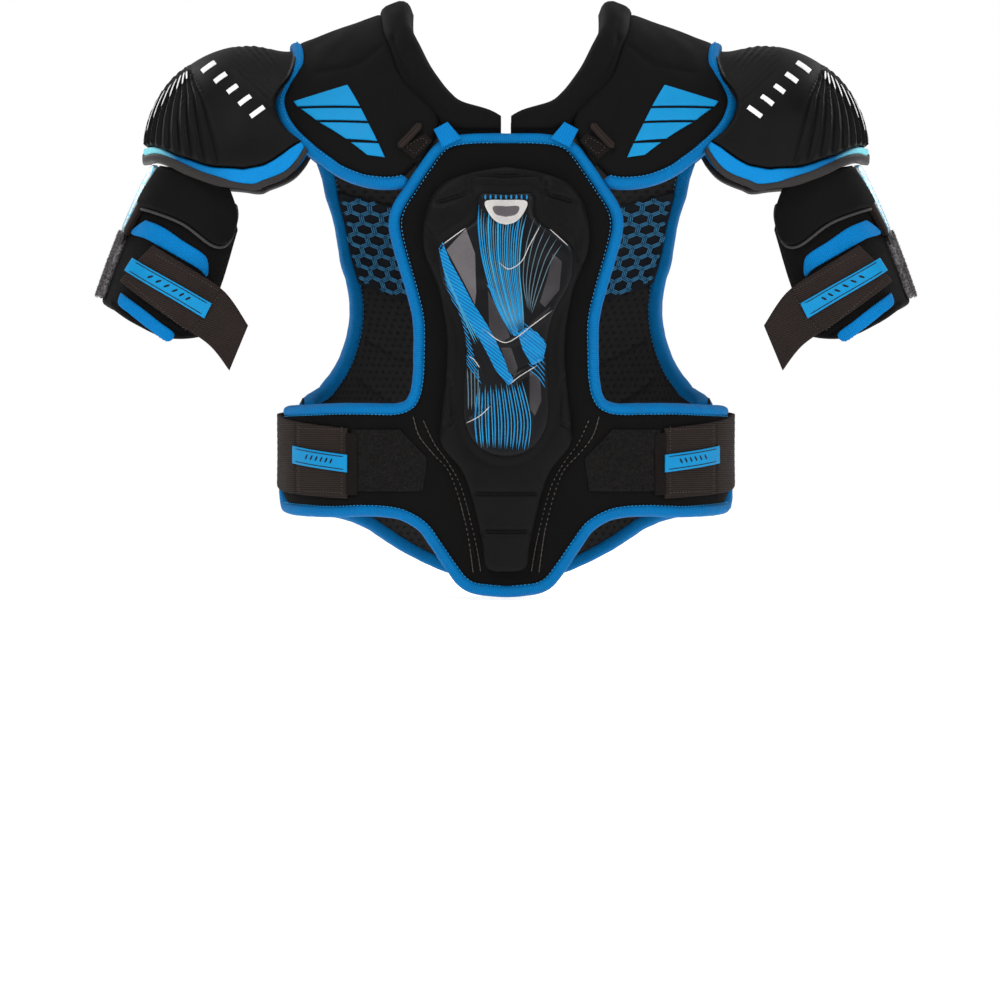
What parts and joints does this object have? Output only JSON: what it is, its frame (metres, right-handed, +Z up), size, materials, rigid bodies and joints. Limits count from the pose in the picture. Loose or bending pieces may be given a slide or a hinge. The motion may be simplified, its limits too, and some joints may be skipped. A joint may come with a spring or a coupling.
{
  "type": "hockey shoulder pads",
  "caption": "Upper-body ice hockey protector with hinged front panel, split collar, domed shoulder caps, strapped upper-arm guards and elastic side straps.",
  "frame": {"origin": "on the wearer's centre line, midway between chest and back, level with the bottom of the front panel", "axes": "+Z up along the wearer's spine, -Y out of the chest, +X to the wearer's left"},
  "size_m": [0.6608, 0.2515, 0.4726],
  "materials": {
    "black_fabric": "matt knit over foam",
    "black_moulded": "satin moulded foam skin",
    "printed_plate": "glossy printed plastic",
    "mesh_lining": "open mesh",
    "blue_fabric": "woven binding",
    "blue_print": "printed film",
    "grey_rubber": "matt",
    "brown_webbing": "woven elastic",
    "loop_fabric": "brushed loop",
    "silver_film": "metallised",
    "silver_webbing": "reflective weave",
    "grey_fleece": "brushed"
  },
  "bodies": {
    "harness": {"back_panel": "black_fabric", "spine_pad": "black_moulded", "back_binding_lower": "blue_fabric", "armhole_binding_right": "blue_fabric", "back_mesh_right": "mesh_lining", "yoke_right": "black_fabric", "yoke_binding_right": "blue_fabric", "yoke_plate_right": "blue_print", "collar_right": "black_fabric", "chest_link_right": "brown_webbing", "armhole_binding_left": "blue_fabric", "back_mesh_left": "mesh_lining", "yoke_left": "black_fabric", "yoke_binding_left": "blue_fabric", "yoke_plate_left": "blue_print", "collar_left": "black_fabric", "chest_link_left": "brown_webbing"},
    "front_panel": {"chest_panel": "black_fabric", "chest_lining": "mesh_lining", "chest_binding_upper": "blue_fabric", "chest_binding_lower": "blue_fabric", "sternum_pad": "black_moulded", "sternum_plate": "printed_plate", "sternum_badge": "silver_film", "torso_loop_right": "loop_fabric", "torso_loop_left": "loop_fabric"},
    "side_strap_right": {"torso_strap_right": "brown_webbing", "torso_tag_right": "blue_print"},
    "cap_right": {"cap_shell_right": "black_moulded", "cap_foam_right": "black_fabric", "cap_band_right": "blue_fabric", "cap_rim_right": "grey_rubber"},
    "arm_right": {"arm_guard_right": "black_fabric", "arm_flap_right": "black_moulded", "arm_panel_upper_right": "blue_fabric", "arm_panel_lower_right": "blue_fabric", "arm_edge_right": "grey_fleece", "cap_link_right": "silver_webbing"},
    "arm_strap_right": {"arm_strap_right": "brown_webbing", "arm_tag_right": "blue_print"},
    "side_strap_left": {"torso_strap_left": "brown_webbing", "torso_tag_left": "blue_print"},
    "cap_left": {"cap_shell_left": "black_moulded", "cap_foam_left": "black_fabric", "cap_band_left": "blue_fabric", "cap_rim_left": "grey_rubber"},
    "arm_left": {"arm_guard_left": "black_fabric", "arm_flap_left": "black_moulded", "arm_panel_upper_left": "blue_fabric", "arm_panel_lower_left": "blue_fabric", "arm_edge_left": "grey_fleece", "cap_link_left": "silver_webbing"},
    "arm_strap_left": {"arm_strap_left": "brown_webbing", "arm_tag_left": "blue_print"}
  },
  "joints": [
    {"name": "front_panel_lift", "type": "hinge", "parent": "harness", "child": "front_panel", "pos_m": [0, -0.112, 0.366], "axis": [-1, 0, 0], "range_deg": [0, 60]},
    {"name": "side_strap_peel_right", "type": "hinge", "parent": "front_panel", "child": "side_strap_right", "pos_m": [-0.165, 0.001, 0.114], "axis": [0, 0, -1], "range_deg": [0, 95]},
    {"name": "cap_lift_right", "type": "hinge", "parent": "harness", "child": "cap_right", "pos_m": [-0.172, 0, 0.441], "axis": [0, 1, 0], "range_deg": [0, 35], "stiffness_Nm_per_rad": 0.4},
    {"name": "arm_swing_right", "type": "hinge", "parent": "cap_right", "child": "arm_right", "pos_m": [-0.277, 0, 0.339], "axis": [0, 1, 0], "range_deg": [-5, 20], "stiffness_Nm_per_rad": 1.5},
    {"name": "arm_strap_peel_right", "type": "hinge", "parent": "arm_right", "child": "arm_strap_right", "pos_m": [-0.301, -0.0478, 0.2691], "axis": [-0.342, 0, -0.9397], "range_deg": [0, 75]},
    {"name": "side_strap_peel_left", "type": "hinge", "parent": "front_panel", "child": "side_strap_left", "pos_m": [0.165, 0.001, 0.114], "axis": [0, 0, 1], "range_deg": [0, 95]},
    {"name": "cap_lift_left", "type": "hinge", "parent": "harness", "child": "cap_left", "pos_m": [0.172, 0, 0.441], "axis": [0, -1, 0], "range_deg": [0, 35], "stiffness_Nm_per_rad": 0.4},
    {"name": "arm_swing_left", "type": "hinge", "parent": "cap_left", "child": "arm_left", "pos_m": [0.277, 0, 0.339], "axis": [0, -1, 0], "range_deg": [-5, 20], "stiffness_Nm_per_rad": 1.5},
    {"name": "arm_strap_peel_left", "type": "hinge", "parent": "arm_left", "child": "arm_strap_left", "pos_m": [0.301, -0.0478, 0.2691], "axis": [-0.342, 0, 0.9397], "range_deg": [0, 75]}
  ]
}
